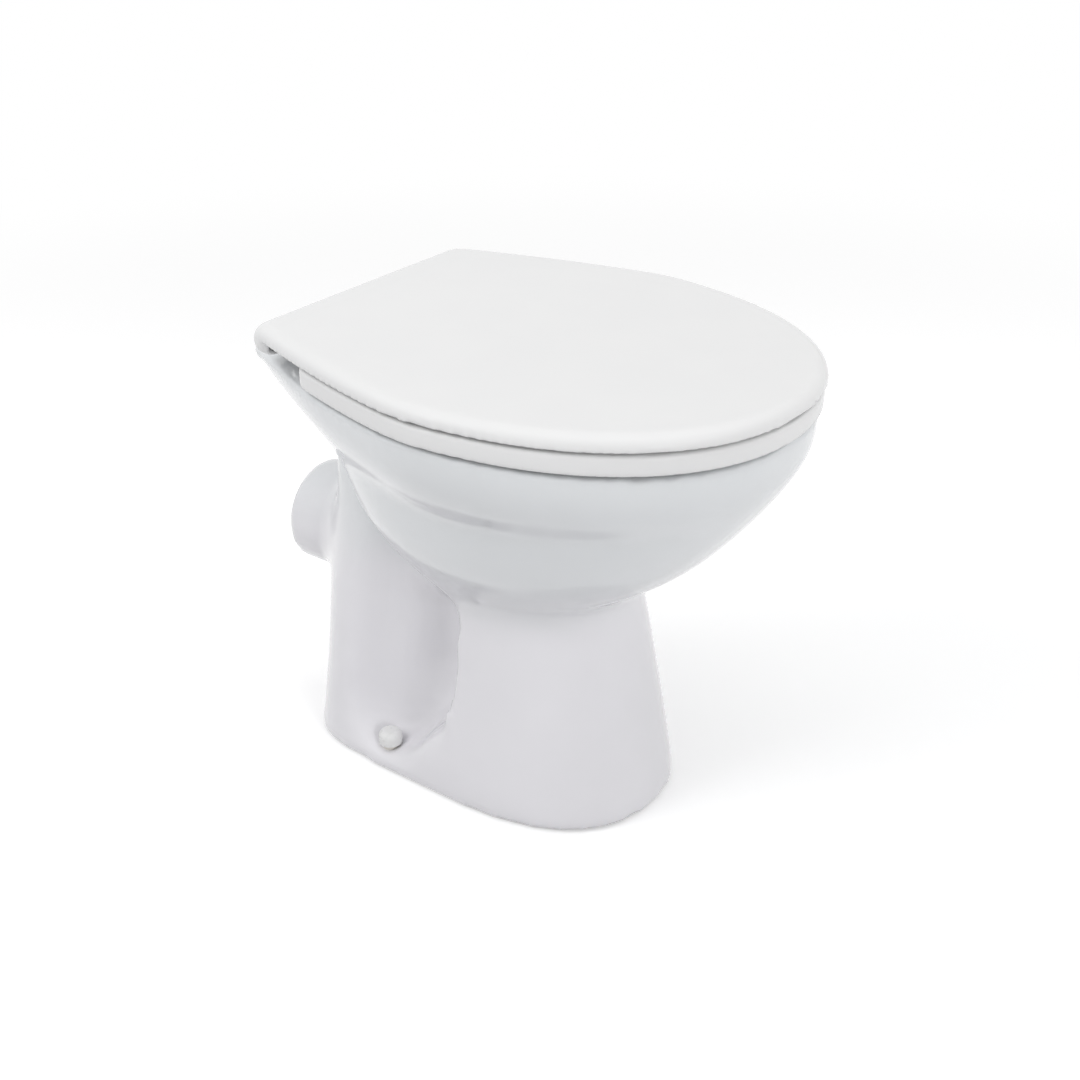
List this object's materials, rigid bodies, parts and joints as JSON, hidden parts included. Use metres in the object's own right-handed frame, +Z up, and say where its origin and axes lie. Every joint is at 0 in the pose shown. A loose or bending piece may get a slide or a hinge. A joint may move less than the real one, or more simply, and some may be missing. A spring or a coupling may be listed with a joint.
{
  "type": "toilet",
  "caption": "Floor-standing wash-down toilet pan with a horizontal rear outlet, side niches for the floor screws, and a hinged seat and lid.",
  "frame": {"origin": "on the floor, in the plane of symmetry, midway between the lid's front edge and the end of the outlet spigot", "axes": "+Z up, +Y towards the wall along the outlet spigot, -Y the front of the bowl, +X to the right of someone who stands in front of the bowl and faces it"},
  "size_m": [0.3697, 0.508, 0.4244],
  "materials": {
    "china": "gloss glaze",
    "seat_plastic": "gloss",
    "hinge_plastic": "satin",
    "steel": "zinc plated",
    "nylon": "matte",
    "rubber": "matte",
    "cap_plastic": "gloss",
    "soft_bumper": "satin"
  },
  "bodies": {
    "pan_body": {"pan": "china", "hinge_bracket_left": "hinge_plastic", "hinge_pin_left": "steel", "hinge_bolt_left": "steel", "rubber_washer_left": "rubber", "plastic_washer_left": "nylon", "wing_nut_left": "nylon", "floor_sleeve_left": "nylon", "floor_cap_left": "cap_plastic", "hinge_bracket_right": "hinge_plastic", "hinge_pin_right": "steel", "hinge_bolt_right": "steel", "rubber_washer_right": "rubber", "plastic_washer_right": "nylon", "wing_nut_right": "nylon", "floor_sleeve_right": "nylon", "floor_cap_right": "cap_plastic"},
    "seat_body": {"seat": "seat_plastic", "seat_bush_left": "nylon", "seat_bumper_rear_left": "soft_bumper", "seat_bumper_front_left": "soft_bumper", "seat_bush_right": "nylon", "seat_bumper_rear_right": "soft_bumper", "seat_bumper_front_right": "soft_bumper"},
    "lid_body": {"lid": "seat_plastic", "lid_bush_left": "nylon", "lid_bumper_left": "soft_bumper", "lid_bush_right": "nylon", "lid_bumper_right": "soft_bumper"}
  },
  "joints": [
    {"name": "seat_hinge", "type": "hinge", "parent": "pan_body", "child": "seat_body", "pos_m": [0, 0.1806, 0.41], "axis": [-1, 0, 0], "range_deg": [0, 90]},
    {"name": "lid_hinge", "type": "hinge", "parent": "seat_body", "child": "lid_body", "pos_m": [0, 0.1806, 0.41], "axis": [-1, 0, 0], "range_deg": [0, 95]}
  ]
}
